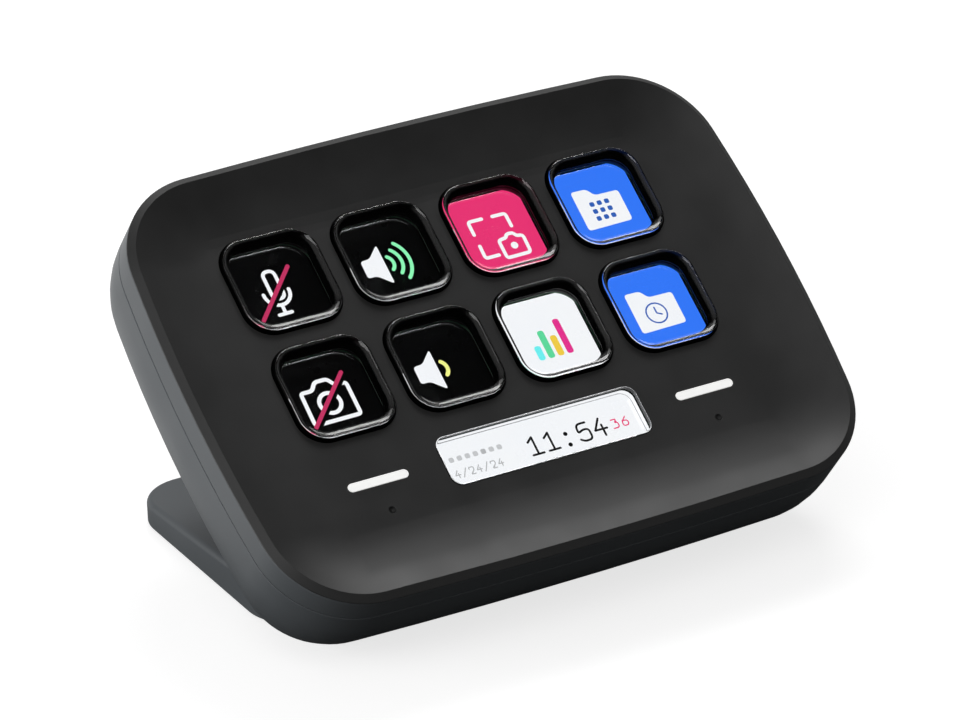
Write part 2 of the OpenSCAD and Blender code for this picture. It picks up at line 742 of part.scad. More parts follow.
module main_board() {
    color("#14502f") on_face() difference() {
        translate([0, board_y]) rounded_slab([board_w, board_h], 2, board_top_d, board_bottom_d);
        for (p = board_screw_xy) translate(p) peg(screw_d + loose, board_top_d - bite, board_bottom_d + bite);
    }
}

// Packages on the back of the main board: [x, y, width, height, thickness]
chips = [
    [-8, 8, 14, 14, 1.4], [12, 10, 8, 6, 1], [12, -2, 5, 5, 0.9], [-24, 16, 6, 5, 1.2],
    [-22, -8, 4, 4, 0.9], [24, 18, 5, 3.2, 1.1], [2, -9, 3.2, 2.5, 0.8]
];
module board_chips() {
    color("#1a1a1c") on_face() for (c = chips)
        translate([c[0], board_y + c[1] - 5]) slab([c[2], c[3]], board_bottom_d, board_bottom_d + c[4]);
}

module ribbon_connectors() {
    color("#e8e2d0") on_face() for (x = [-1, 1])
        translate([x * (board_w / 2 - 6.5), lcd_y]) slab([4.4, ribbon_w + 2.4], board_bottom_d, board_bottom_d + 1.6);
}

module usb_socket() {
    color("silver") on_face() translate([0, usb_y]) difference() {
        translate([0, 0, -body_d + 0.6]) linear_extrude(body_d - 0.6 - board_bottom_d) usb_outline(0);
        difference() {
            translate([0, 0, -body_d]) linear_extrude(7.2) usb_outline(-0.3);
            translate([0, 0, -body_d - bite]) slab([6.7, 0.7], -body_d, -1);
        }
    }
}

// ---- screws ----

module frame_screws() {
    color("#8a8d90") on_face() for (p = frame_screw_xy) translate(p) screw_up(mid_bottom_d, 6);
}
module board_screws() {
    color("#8a8d90") on_face() for (p = board_screw_xy) translate(p) screw_up(board_bottom_d, board_t + 2.4);
}
module stand_screws() {
    color("#8a8d90") on_face() for (p = stand_screw_xy) translate(p) {
        peg(screw_d, body_d - wall, body_d + 4);
        peg(head_d, body_d - wall - head_t, body_d - wall);
    }
}

faceplate();
front_frame();
rear_shell();
stand();
stand_pad();
key_1();
key_2();
key_3();
key_4();
key_5();
key_6();
key_7();
key_8();
key_frame();
silicone_mat();
switch_board();
switch_tail();
info_lens();
light_bar_left();
light_bar_right();
bar_leds();
touch_pad_left();
touch_pad_right();
lcd_glass();
lcd_backlight();
lcd_ribbon();
mid_frame();
main_board();
board_chips();
ribbon_connectors();
usb_socket();
frame_screws();
board_screws();
stand_screws();
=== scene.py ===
import math
import bmesh
import bpy
from mathutils import Matrix, Vector


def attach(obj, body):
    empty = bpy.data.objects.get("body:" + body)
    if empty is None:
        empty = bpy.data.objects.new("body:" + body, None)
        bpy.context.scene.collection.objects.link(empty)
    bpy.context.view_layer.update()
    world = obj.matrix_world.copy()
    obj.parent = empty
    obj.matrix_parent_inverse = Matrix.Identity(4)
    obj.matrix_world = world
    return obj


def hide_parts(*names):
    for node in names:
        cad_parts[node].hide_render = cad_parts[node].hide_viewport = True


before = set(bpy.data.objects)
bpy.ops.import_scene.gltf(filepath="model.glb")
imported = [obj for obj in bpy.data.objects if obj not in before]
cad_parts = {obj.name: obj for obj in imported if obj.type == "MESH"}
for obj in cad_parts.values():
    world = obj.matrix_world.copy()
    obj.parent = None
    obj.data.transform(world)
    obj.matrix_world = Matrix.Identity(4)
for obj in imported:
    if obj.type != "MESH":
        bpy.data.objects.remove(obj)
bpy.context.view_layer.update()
mm = 0.001
print("frame loaded,", len(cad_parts), "nodes")


# the camera, in metres, with its lens and sensor in mm
cameraSetup = {
    "place": (-0.38475, -0.63458, 0.40218), "aim": (-0.00362, -0.00518, 0.03392),
    "lens": 200.8, "sensor": 36.0, "near": 0.02, "far": 20,
}


def aimed(place, aim):
    return (Vector(aim) - Vector(place)).to_track_quat("-Z", "Y").to_euler()


def makeCamera():
    data = bpy.data.cameras.new("camera")
    data.lens = cameraSetup["lens"]
    data.sensor_width = cameraSetup["sensor"]
    data.clip_start = cameraSetup["near"]
    data.clip_end = cameraSetup["far"]
    camera = bpy.data.objects.new("camera", data)
    camera.location = cameraSetup["place"]
    camera.rotation_euler = aimed(cameraSetup["place"], cameraSetup["aim"])
    bpy.context.scene.collection.objects.link(camera)
    bpy.context.scene.camera = camera


makeCamera()
print("camera made")


# colour and its patches, patch size in mm, roughness from and to, grain size in mm and how much it stands up
finishes = {
    "faceBlack": {"colour": "#272727", "patches": "#2b2b2b", "patch": 9, "rough": (0.40, 0.48),
                  "grain": 0.09, "bump": 0.10, "specular": 0.42},
    "housingSlate": {"colour": "#55595c", "patches": "#595d60", "patch": 14, "rough": (0.44, 0.54),
                     "grain": 0.10, "bump": 0.14, "specular": 0.45},
    "padRubber": {"colour": "#161616", "patches": "#1d1d1d", "patch": 5, "rough": (0.78, 0.9),
                  "grain": 0.25, "bump": 0.35},
    "clearPlastic": {"colour": "#fbfdff", "patches": "#f8fbff", "patch": 6, "rough": (0.0, 0.012),
                     "grain": 0.8, "bump": 0.002, "transmission": 1.0, "ior": 1.585},
    "keySkirt": {"colour": "#020202", "patches": "#030303", "patch": 4, "rough": (0.16, 0.24),
                 "grain": 0.3, "bump": 0.02, "specular": 0.1},
    "innerBlack": {"colour": "#121212", "patches": "#171717", "patch": 4, "rough": (0.55, 0.7),
                   "grain": 0.15, "bump": 0.12},
    "siliconeBlack": {"colour": "#0c0c0c", "patches": "#111111", "patch": 4, "rough": (0.5, 0.62),
                      "grain": 0.2, "bump": 0.08},
    "boardGreen": {"colour": "#123f27", "patches": "#1a5635", "patch": 2.2, "rough": (0.3, 0.45),
                   "grain": 0.5, "bump": 0.2},
    "flexAmber": {"colour": "#a0622a", "patches": "#b9763a", "patch": 2, "rough": (0.25, 0.38),
                  "grain": 0.3, "bump": 0.1},
    "diffuserWhite": {"colour": "#f2f2f0", "patches": "#ebebea", "patch": 1.5, "rough": (0.35, 0.5),
                      "grain": 0.12, "bump": 0.05, "glow": 0.49},
    "lampCream": {"colour": "#f1ecd0", "patches": "#e2d9a8", "patch": 0.6, "rough": (0.25, 0.35),
                  "grain": 0.2, "bump": 0.05},
    "displayGlass": {"colour": "#050506", "patches": "#070708", "patch": 6, "rough": (0.12, 0.2),
                     "grain": 0.6, "bump": 0.01},
    "lightTray": {"colour": "#9a9c9d", "patches": "#a9abac", "patch": 8, "rough": (0.28, 0.4),
                  "grain": 0.3, "bump": 0.08, "metallic": 1.0},
    "chipBlack": {"colour": "#141416", "patches": "#1b1b1d", "patch": 1.2, "rough": (0.5, 0.65),
                  "grain": 0.12, "bump": 0.1},
    "connectorCream": {"colour": "#d9d2bd", "patches": "#e3dcc9", "patch": 1, "rough": (0.4, 0.5),
                       "grain": 0.2, "bump": 0.1},
    "socketSteel": {"colour": "#8d8f91", "patches": "#9d9fa1", "patch": 1.5, "rough": (0.22, 0.34),
                    "grain": 0.08, "bump": 0.12, "metallic": 1.0},
    "screwSteel": {"colour": "#6f7173", "patches": "#818385", "patch": 0.8, "rough": (0.28, 0.42),
                   "grain": 0.1, "bump": 0.15, "metallic": 1.0},
}
plainLook = {"metallic": 0.0, "ior": 1.46, "transmission": 0.0, "specular": 0.5}  # where a finish doesn't say

# how fine the patches and the grain are, how deep the grain is for its size, and which noise values are used
texture = {"patchDetail": 3, "grainDetail": 2, "grainDepth": 0.5, "noiseLow": 0.3, "noiseHigh": 0.7}
mixSockets = {"factor": 0, "first": 6, "second": 7, "result": 2}  # where a mix node keeps its colours

# which finish each CAD node wears
nodeFinish = {
    "stand_pad": "padRubber", "key_frame": "innerBlack", "silicone_mat": "siliconeBlack",
    "switch_board": "boardGreen", "switch_tail": "flexAmber", "light_bar_left": "diffuserWhite",
    "light_bar_right": "diffuserWhite", "bar_leds": "lampCream", "touch_pad_left": "flexAmber",
    "touch_pad_right": "flexAmber", "lcd_glass": "displayGlass", "lcd_backlight": "lightTray",
    "lcd_ribbon": "flexAmber", "mid_frame": "innerBlack", "main_board": "boardGreen",
    "board_chips": "chipBlack", "ribbon_connectors": "connectorCream", "usb_socket": "socketSteel",
    "frame_screws": "screwSteel", "board_screws": "screwSteel", "stand_screws": "screwSteel",
}


def shade(code):  # a screen colour such as "#5f6366", as the shader wants it
    parts = [int(code[i:i + 2], 16) / 255 for i in (1, 3, 5)]
    return [c / 12.92 if c <= 0.04045 else ((c + 0.055) / 1.055) ** 2.4 for c in parts] + [1]


def addNoise(tree, place, size, detail):
    noise = tree.nodes.new("ShaderNodeTexNoise")
    noise.inputs["Scale"].default_value = 1 / (size * mm)
    noise.inputs["Detail"].default_value = detail
    tree.links.new(place, noise.inputs["Vector"])
    return noise.outputs["Fac"]


def addMix(tree, factor, first, second):
    mix = tree.nodes.new("ShaderNodeMix")
    mix.data_type = "RGBA"
    mix.inputs[mixSockets["first"]].default_value = first
    mix.inputs[mixSockets["second"]].default_value = second
    tree.links.new(factor, mix.inputs[mixSockets["factor"]])
    return mix.outputs[mixSockets["result"]]


def addRange(tree, value, low, high):
    span = tree.nodes.new("ShaderNodeMapRange")
    span.inputs["From Min"].default_value = texture["noiseLow"]
    span.inputs["From Max"].default_value = texture["noiseHigh"]
    span.inputs["To Min"].default_value = low
    span.inputs["To Max"].default_value = high
    tree.links.new(value, span.inputs["Value"])
    return span.outputs["Result"]


def addBump(tree, height, strength, depth):
    bump = tree.nodes.new("ShaderNodeBump")
    bump.inputs["Strength"].default_value = strength
    bump.inputs["Distance"].default_value = depth
    tree.links.new(height, bump.inputs["Height"])
    return bump.outputs["Normal"]


def makeFinish(name, ownLook):
    look = {**plainLook, **ownLook}
    finish = bpy.data.materials.new(name)
    finish.use_nodes = True
    tree = finish.node_tree
    shader = tree.nodes["Principled BSDF"]
    shader.inputs["Metallic"].default_value = look["metallic"]
    shader.inputs["IOR"].default_value = look["ior"]
    shader.inputs["Transmission Weight"].default_value = look["transmission"]
    shader.inputs["Specular IOR Level"].default_value = look["specular"]
    place = tree.nodes.new("ShaderNodeTexCoord").outputs["Object"]
    patches = addNoise(tree, place, look["patch"], texture["patchDetail"])
    grain = addNoise(tree, place, look["grain"], texture["grainDetail"])
    colour = addMix(tree, addRange(tree, patches, 0, 1), shade(look["colour"]), shade(look["patches"]))
    depth = look["grain"] * mm * texture["grainDepth"]
    tree.links.new(colour, shader.inputs["Base Color"])
    tree.links.new(addRange(tree, patches, *look["rough"]), shader.inputs["Roughness"])
    tree.links.new(addBump(tree, grain, look["bump"], depth), shader.inputs["Normal"])
    if "glow" in look:
        tree.links.new(colour, shader.inputs["Emission Color"])
        shader.inputs["Emission Strength"].default_value = look["glow"]
    return finish


# a lit patch of the display: its colour comes through fine rows of picture elements
imageColours = {
    "dark": "#030303", "white": "#f7f7f7", "pink": "#ea3572", "slash": "#c23460", "blue": "#3578f6",
    "dotBlue": "#2f5fb4", "green": "#8ef5b4", "yellow": "#f5f58a", "cyan": "#6ef0ee",
    "leaf": "#5ed99a", "amber": "#f2cc45", "magenta": "#e5318b", "ink": "#101010",
    "grey": "#b4b4b4", "paleGrey": "#c6c6c6",
}
imageLook = {
    "strength": 1.16, "element": 0.17, "ripple": 0.05,
    "unlit": "#040405", "rough": (0.26, 0.34), "specular": 0.1, "patch": 4, "patchDetail": 2,
}
wavePeriod = math.pi / 10  # what a wave texture of scale 1 takes from one row to the next


def makeImageFinish(name, code):
    finish = bpy.data.materials.new(name)
    finish.use_nodes = True
    tree = finish.node_tree
    shader = tree.nodes["Principled BSDF"]
    shader.inputs["Specular IOR Level"].default_value = imageLook["specular"]
    place = tree.nodes.new("ShaderNodeTexCoord").outputs["Object"]
    rows = tree.nodes.new("ShaderNodeTexWave")
    rows.bands_direction = "X"
    rows.inputs["Scale"].default_value = wavePeriod / (imageLook["element"] * mm)
    tree.links.new(place, rows.inputs["Vector"])
    patches = addNoise(tree, place, imageLook["patch"], imageLook["patchDetail"])
    bright = shade(code)
    dim = [c * (1 - imageLook["ripple"]) for c in bright[:3]] + [1]
    tree.links.new(addMix(tree, rows.outputs["Fac"], bright, dim), shader.inputs["Emission Color"])
    tree.links.new(addRange(tree, patches, *imageLook["rough"]), shader.inputs["Roughness"])
    shader.inputs["Base Color"].default_value = shade(imageLook["unlit"])
    shader.inputs["Emission Strength"].default_value = imageLook["strength"]
    return finish


finish = {name: makeFinish(name, look) for name, look in finishes.items()}
imageFinish = {name: makeImageFinish("image_" + name, code) for name, code in imageColours.items()}

for nodeName, finishName in nodeFinish.items():
    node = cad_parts[nodeName]
    node.data.materials.clear()
    node.data.materials.append(finish[finishName])
print("finishes made")


# the face, leant back over the desk: degrees, and where its middle stands in mm
face = {"lean": 35.4, "y": -4.69764, "z": 38.5801}
faceMiddle = Matrix.Translation((0, face["y"] * mm, face["z"] * mm))
faceToDesk = faceMiddle @ Matrix.Rotation(math.radians(face["lean"]), 4, "X")


def addPiece(name, bm, body, slotName, *finishesUsed):
    mesh = bpy.data.meshes.new(name)
    bm.to_mesh(mesh)
    bm.free()
    for used in finishesUsed:
        mesh.materials.append(used)
    piece = bpy.data.objects.new(name, mesh)
    bpy.context.scene.collection.objects.link(piece)
    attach(piece, body)
    return piece


def smoothBelow(piece, angle):
    for polygon in piece.data.polygons:
        polygon.use_smooth = True
    piece.data.set_sharp_from_angle(angle=math.radians(angle))


# moulded outer pieces: the CAD's solids, made smooth and given small soft edges
mouldings = {
    "faceplate": {"finish": "faceBlack", "slot": "faceplate_black", "edge": 0.10},
    "front_frame": {"finish": "housingSlate", "slot": "housing_slate", "edge": 0.08},
    "rear_shell": {"finish": "housingSlate", "slot": "housing_slate", "edge": 0.12},
    "stand": {"finish": "housingSlate", "slot": "housing_slate", "edge": 0.2},
}
# in mm and degrees
softening = {"weld": 0.002, "flatBelow": 0.4, "smoothBelow": 28, "bevelFrom": 40, "segments": 2}


def smoothCopy(nodeName, moulding):
    bm = bmesh.new()
    bm.from_mesh(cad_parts[nodeName].data)
    bmesh.ops.remove_doubles(bm, verts=bm.verts, dist=softening["weld"] * mm)
    flat = math.radians(softening["flatBelow"])
    bmesh.ops.dissolve_limit(bm, angle_limit=flat, verts=bm.verts, edges=bm.edges)
    for f in bm.faces:
        f.material_index = 0
    piece = addPiece(nodeName + "_moulding", bm, "housing", moulding["slot"], finish[moulding["finish"]])
    smoothBelow(piece, softening["smoothBelow"])
    bevel = piece.modifiers.new("softEdges", "BEVEL")
    bevel.width = moulding["edge"] * mm
    bevel.segments = softening["segments"]
    bevel.limit_method = "ANGLE"
    bevel.angle_limit = math.radians(softening["bevelFrom"])
    weighted = piece.modifiers.new("evenNormals", "WEIGHTED_NORMAL")
    weighted.keep_sharp = True
    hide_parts(nodeName)


for nodeName, moulding in mouldings.items():
    smoothCopy(nodeName, moulding)
print("mouldings smoothed")


# clear keys, in mm, with heights from the face's rim
keys = {
    "side": 16.6, "corner": 4.4, "pitchX": 19.5, "pitchY": 19.6, "middleX": 0.15, "middleY": 8.1,
    "top": -1.75, "edge": 0.35, "slope": 1.2, "window": 0.35, "windowFlat": 0.4,
    "crest": ((-0.035, -0.012), (0.03, -0.004)), "crestEnd": 76,
    "step": -5.1, "stepIn": 1.15, "bottom": -5.65, "chamfer": 0.1, "underFlat": 0.6,
    "steps": 16, "slopeSteps": 12, "edgeSteps": 8, "smoothBelow": 35,
}
# what of a key is black: faces that look out so much and up no more than that, and all between two heights
keyBlack = {"out": 0.1, "up": 0.75, "belowTop": 0.8, "aboveBottom": 0.05}
keyHole = {"gap": 0.3, "bottom": -4.3, "flat": 1}
# information window, a bar with a flange under the faceplate
lens = {
    "length": 35.9, "height": 8.6, "corner": 1.8, "middleY": -18.45, "top": -2.45, "edge": 0.25,
    "flangeTop": -4.3, "flangeBottom": -5.05, "flangeOut": 1.3, "bottom": -7.05, "chamfer": 0.1,
    "flat": 0.5, "steps": 10, "edgeSteps": 8, "smoothBelow": 35, "wallUp": 0.3,
}
sweepWeld = 1e-4  # how near two corners of a sweep are when they're one


def only(kind, parts):
    return [part for part in parts if isinstance(part, kind)]


def quarter(centre, radius, start, end, steps):  # points of an arc in a section, angles in degrees
    angles = [math.radians(start + (end - start) * i / steps) for i in range(steps + 1)]
    return [(centre[0] + radius * math.cos(a), centre[1] + radius * math.sin(a)) for a in angles]


def keySection():  # a flat window, a hollow slope up to the crest, a soft outer edge, the wall and a step in
    rim, slope, drop, top = keys["edge"], keys["slope"], keys["window"], keys["top"]
    inner, bottom, chamfer = -keys["stepIn"], keys["bottom"], keys["chamfer"]
    hollow = (slope ** 2 + drop ** 2) / (2 * drop)
    steepest = math.degrees(math.asin(slope / hollow))
    hollowMiddle = (-rim - slope, top - drop + hollow)
    slopePoints = quarter(hollowMiddle, hollow, -90, steepest - 90, keys["slopeSteps"])
    return [
        (-rim - slope - keys["windowFlat"], top - drop), *slopePoints[:-1],
        *[(-rim + out, top + up) for out, up in keys["crest"]],
        *quarter((-rim, top - rim), rim, keys["crestEnd"], 0, keys["edgeSteps"]),
        (0, keys["step"]), (inner, keys["step"]),
        (inner, bottom + chamfer), (inner - chamfer, bottom), (inner - keys["underFlat"], bottom),
    ]


def lensSection():  # a flat top, a small round edge, the wall with its flange and a chamfer at the bottom
    edge, out, chamfer = lens["edge"], lens["flangeOut"], lens["chamfer"]
    return [
        (-edge - lens["flat"], lens["top"]),
        *quarter((-edge, lens["top"] - edge), edge, 90, 0, lens["edgeSteps"]),
        (0, lens["flangeTop"]), (out, lens["flangeTop"]),
        (out, lens["flangeBottom"]), (0, lens["flangeBottom"]),
        (0, lens["bottom"] + chamfer), (-chamfer, lens["bottom"]), (-lens["flat"], lens["bottom"]),
    ]


def sweepRound(section, size, corner, steps):  # takes a section round a rectangle with round corners
    bm = bmesh.new()
    inner = Vector((size[0] / 2 - corner, size[1] / 2 - corner))
    path = [bm.verts.new((inner.x + corner + out, inner.y, up)) for out, up in section]
    last = [bm.edges.new(pair) for pair in zip(path, path[1:])]
    runs = [(-2 * inner.x, 0), (0, -2 * inner.y), (2 * inner.x, 0), (0, 2 * inner.y)]
    centre = Vector((inner.x, inner.y, 0))
    turn = {"axis": (0, 0, 1), "angle": math.radians(90), "steps": steps}
    for run in runs:
        turned = bmesh.ops.spin(bm, geom=last, cent=centre, **turn)
        last = only(bmesh.types.BMEdge, turned["geom_last"])
        drawn = bmesh.ops.extrude_edge_only(bm, edges=last)["geom"]
        ends = only(bmesh.types.BMVert, drawn)
        bmesh.ops.translate(bm, vec=(*run, 0), verts=ends)
        last = [edge for edge in only(bmesh.types.BMEdge, drawn) if all(v in ends for v in edge.verts)]
        centre += Vector((*run, 0))
    bmesh.ops.remove_doubles(bm, verts=bm.verts, dist=sweepWeld)
    bmesh.ops.holes_fill(bm, edges=bm.edges, sides=0)
    bmesh.ops.recalc_face_normals(bm, faces=bm.faces)
    return bm


def placeOnFace(bm, x, y):
    bm.transform(faceToDesk @ Matrix.Translation((x * mm, y * mm, 0)) @ Matrix.Scale(mm, 4))


def keyPlace(i):  # keys 1 to 4 stand in the upper row and 5 to 8 in the lower one
    x = keys["middleX"] + (i % 4 - 1.5) * keys["pitchX"]
    return x, keys["middleY"] + (0.5 - i // 4) * keys["pitchY"]


def blackenSides(bm):  # the walls and the step are made black; rim, window and underside stay clear
    low, high = keys["bottom"] + keyBlack["aboveBottom"], keys["top"] - keyBlack["belowTop"]
    for f in bm.faces:
        middle = f.calc_center_median()
        outward = f.normal.xy.dot(middle.xy) > keyBlack["out"] * middle.xy.length
        if outward and f.normal.z < keyBlack["up"] or low < middle.z < high:
            f.material_index = 1


def blackenWalls(bm):  # the window's walls above its flange
    for f in bm.faces:
        if abs(f.normal.z) < lens["wallUp"] and f.calc_center_median().z > lens["flangeTop"]:
            f.material_index = 1


def meshOf(name, bm):
    mesh = bpy.data.meshes.new(name)
    bm.to_mesh(mesh)
    bm.free()
    return mesh


def makeHoleCutter():  # eight rounded prisms, each a little wider than its key
    flat, bottom, gap = keyHole["flat"], keyHole["bottom"], keyHole["gap"]
    prism = [(-flat, 0), (0, 0), (0, bottom), (-flat, bottom)]
    side = keys["side"] + 2 * gap
    bm = bmesh.new()
    for i in range(8):
        one = sweepRound(prism, (side, side), keys["corner"] + gap, keys["steps"])
        placeOnFace(one, *keyPlace(i))
        mesh = meshOf("prism", one)
        bm.from_mesh(mesh)
        bpy.data.meshes.remove(mesh)
    cutter = bpy.data.objects.new("cutter", meshOf("cutter", bm))
    bpy.context.scene.collection.objects.link(cutter)
    return cutter


def widenHoles(piece):  # opens the faceplate's holes to the size and place of the clear keys
    cutter = makeHoleCutter()
    cut = piece.modifiers.new("cut", "BOOLEAN")
    cut.operation = "DIFFERENCE"
    cut.solver = "EXACT"
    cut.object = cutter
    for modifier in piece.modifiers:
        modifier.show_viewport = modifier == cut
    cutPiece = piece.evaluated_get(bpy.context.evaluated_depsgraph_get())
    piece.data = bpy.data.meshes.new_from_object(cutPiece)
    piece.modifiers.remove(cut)
    for modifier in piece.modifiers:
        modifier.show_viewport = True
    smoothBelow(piece, softening["smoothBelow"])
    bpy.data.objects.remove(cutter)


def makeKey(i):
    bm = sweepRound(keySection(), (keys["side"], keys["side"]), keys["corner"], keys["steps"])
    blackenSides(bm)
    placeOnFace(bm, *keyPlace(i))
    body = f"key_{i + 1}"
    key = addPiece(body + "_clear", bm, body, "clear_plastic", finish["clearPlastic"], finish["keySkirt"])
    smoothBelow(key, keys["smoothBelow"])
    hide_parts(body)


def makeWindow():
    bm = sweepRound(lensSection(), (lens["length"], lens["height"]), lens["corner"], lens["steps"])
    blackenWalls(bm)
    placeOnFace(bm, 0, lens["middleY"])
    looks = finish["clearPlastic"], finish["keySkirt"]
    window = addPiece("info_window_clear", bm, "housing", "clear_plastic", *looks)
    smoothBelow(window, lens["smoothBelow"])
    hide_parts("info_lens")


widenHoles(bpy.data.objects["faceplate_moulding"])
for i in range(8):
    makeKey(i)
makeWindow()
print("keys and window made")


# what the display shows: thin coloured layers on the panel, in mm
image = {
    "width": 14.6, "height": 15.0, "patchX": -0.1, "patchY": 0.11, "corner": 2.3,
    "shiftX": 0.24, "shiftY": -0.38, "infoLength": 37.9, "infoHeight": 8.87, "infoCorner": 0.6,
    "panel": -7.1, "layer": 0.02, "stroke": 0.6,
}
# how finely the icons are drawn, and the most of a side that a round corner takes
drawing = {
    "cornerSteps": 5, "cornerShare": 0.48, "bowSteps": 16, "tipSteps": 7, "ringPoints": 45, "discPoints": 24,
}


def rounded(points, radius, closed):  # a path with its corners rounded
    path = [Vector(p) for p in points]
    count = len(path)
    made = []
    for i, corner in enumerate(path):
        if not closed and i in (0, count - 1):
            made.append(corner)
            continue
        before, after = path[i - 1] - corner, path[(i + 1) % count] - corner
        reach = min(radius, *[side.length * drawing["cornerShare"] for side in (before, after)])
        start, end = corner + before.normalized() * reach, corner + after.normalized() * reach
        for k in range(drawing["cornerSteps"] + 1):
            t = k / drawing["cornerSteps"]
            made.append(start * (1 - t) ** 2 + corner * 2 * t * (1 - t) + end * t * t)
    return made


def arcPath(x, y, radius, start, end, steps):
    return [Vector(p) for p in quarter((x, y), radius, start, end, steps)]


def circlePath(x, y, radius, count):
    return arcPath(x, y, radius, 0, 360 * (count - 1) / count, count - 1)


def offsets(path, half, closed):  # the two edges of a stroke
    left, right = [], []
    count = len(path)
    for i, point in enumerate(path):
        ahead = path[(i + 1) % count] if closed or i < count - 1 else point
        behind = path[i - 1] if closed or i > 0 else point
        along = (ahead - behind).normalized()
        across = Vector((-along.y, along.x)) * half
        left.append(point + across)
        right.append(point - across)
    return left, right


def addLoop(bm, loop, height):
    verts = [bm.verts.new((p.x, p.y, height)) for p in loop]
    return verts, [bm.edges.new((a, b)) for a, b in zip(verts, verts[1:] + verts[:1])]


def roundTip(end, side, half):  # the half circle that closes a stroke at one end
    start = math.degrees(math.atan2(*(side - end).yx))
    return arcPath(*end, half, start, start - 180, drawing["tipSteps"])[1:-1]


def addShape(bm, kind, data, height, index):
    path = data["path"]
    if kind == "fill":
        faces = [bm.faces.new(addLoop(bm, path, height)[0])]
    elif data["closed"]:
        left, right = offsets(path, data["width"] / 2, True)
        edges = addLoop(bm, left, height)[1] + addLoop(bm, right, height)[1]
        faces = bmesh.ops.bridge_loops(bm, edges=edges)["faces"]
    else:
        half = data["width"] / 2
        left, right = offsets(path, half, False)
        loop = left + roundTip(path[-1], left[-1], half) + right[::-1] + roundTip(path[0], right[0], half)
        faces = [bm.faces.new(addLoop(bm, loop, height)[0])]
    raised = only(bmesh.types.BMVert, bmesh.ops.extrude_face_region(bm, geom=faces)["geom"])
    bmesh.ops.translate(bm, vec=(0, 0, image["layer"]), verts=raised)
    for f in {f for vert in raised for f in vert.link_faces} | set(faces):
        f.material_index = index


def stroke(path, colour, layer, width, closed=False):
    return "stroke", {"path": path, "width": width or image["stroke"], "closed": closed}, colour, layer


def line(points, colour, layer=1, width=None, corner=0.5, closed=False):
    return stroke(rounded(points, corner, closed), colour, layer, width, closed)


def bow(x, y, radius, start, end, colour, layer=1, width=None):
    return stroke(arcPath(x, y, radius, start, end, drawing["bowSteps"]), colour, layer, width)


def ring(x, y, radius, colour, layer=1, width=None):
    return stroke(circlePath(x, y, radius, drawing["ringPoints"]), colour, layer, width, True)


def patch(points, colour, layer=1, corner=0.5):
    return "fill", {"path": rounded(points, corner, True)}, colour, layer


def plate(x, y, width, height, colour, layer=1, corner=0.5):
    w, h = width / 2, height / 2
    return patch([(x - w, y - h), (x + w, y - h), (x + w, y + h), (x - w, y + h)], colour, layer, corner)


def disc(x, y, radius, colour, layer=1):
    return "fill", {"path": circlePath(x, y, radius, drawing["discPoints"])}, colour, layer


def slash(top, bottom):  # a coloured stroke over a dark one beside it
    gap = Vector((0.32, -0.32))
    under = line([Vector(top) + gap, Vector(bottom) + gap], "dark", 2, 0.95)
    return [under, line([top, bottom], "slash", 3, 0.68)]


speakerPoints = [(-4.25, 1.62), (-2.6, 1.7), (-0.45, 3.75), (-0.42, -3.45), (-2.7, -1.5), (-4.3, -1.5)]
speaker = patch(speakerPoints, "white", 1, 0.55)
folderPoints = [(-3.7, 4.12), (-0.9, 4.05), (0.15, 2.68), (4.42, 2.62), (4.36, -3.05), (-3.78, -3.18)]
folder = patch(folderPoints, "white", 1, 0.6)

icons = [
    [  # microphone switched off
        line([(-1.17, 4.0), (0.83, 4.0), (0.83, -1.0), (-1.17, -1.0)], "white", corner=1.3, closed=True),
        bow(-0.3, 0.1, 2.2, 176, 364, "white"),
        line([(-0.35, -2.15), (-0.38, -3.6)], "white"), line([(-1.5, -3.7), (0.7, -3.64)], "white"),
        *slash((3.45, 4.0), (-4.7, -4.25)),
    ],
    [  # loud
        speaker, bow(-0.45, 0.1, 1.45, 57, -52, "green"), bow(-0.45, 0.1, 2.88, 50, -46, "green"),
        bow(-0.45, 0.1, 4.3, 48, -48, "green"),
    ],
    [  # part of the screen to a picture
        line([(-0.9, 3.58), (-3.38, 3.58), (-3.4, 1.2)], "white"),
        line([(1.05, 3.54), (3.4, 3.54), (3.42, 1.15)], "white"),
        line([(-3.4, -0.95), (-3.45, -3.24), (-1.0, -3.22)], "white"),
        line([(0.1, -0.78), (1.5, -0.62), (1.9, -0.05), (3.0, -0.05), (3.4, -0.72),
              (4.5, -0.85), (4.42, -4.05), (0.1, -4.1)], "white", corner=0.55, closed=True),
        disc(2.31, -2.25, 0.62, "white"),
    ],
    [  # folder of buttons
        folder,
        *[plate(x, y, 0.84, 0.84, "dotBlue", 2, 0.3)
          for x in (-1.12, 0.24, 1.6) for y in (1.2, -0.14, -1.48)],
    ],
    [  # camera switched off
        line([(-4.28, 2.2), (-2.3, 2.2), (-1.3, 3.5), (0.8, 3.5), (1.75, 2.2), (3.6, 2.2),
              (3.6, -3.5), (-4.38, -3.55)], "white", width=0.66, corner=0.5, closed=True),
        ring(-0.38, -0.5, 1.75, "white", width=0.66), *slash((3.6, 3.98), (-4.56, -4.02)),
    ],
    [speaker, bow(-0.42, 0.1, 1.52, 54, -50, "yellow", width=0.66)],  # quiet
    [  # level chart
        plate(-2.55, -1.7, 1.15, 2.6, "cyan"), plate(-0.85, -0.5, 1.15, 5.0, "leaf"),
        plate(0.85, -1.15, 1.15, 3.7, "amber"), plate(2.55, 0.15, 1.15, 6.3, "magenta"),
    ],
    [  # folder of timers
        folder, ring(0.18, -0.28, 1.78, "dotBlue", 2, 0.26),
        line([(0.18, 0.75), (0.18, -0.28), (0.98, -0.7)], "dotBlue", 2, 0.26, 0.05),
    ],
]
grounds = ["dark", "dark", "pink", "blue", "dark", "dark", "white", "blue"]

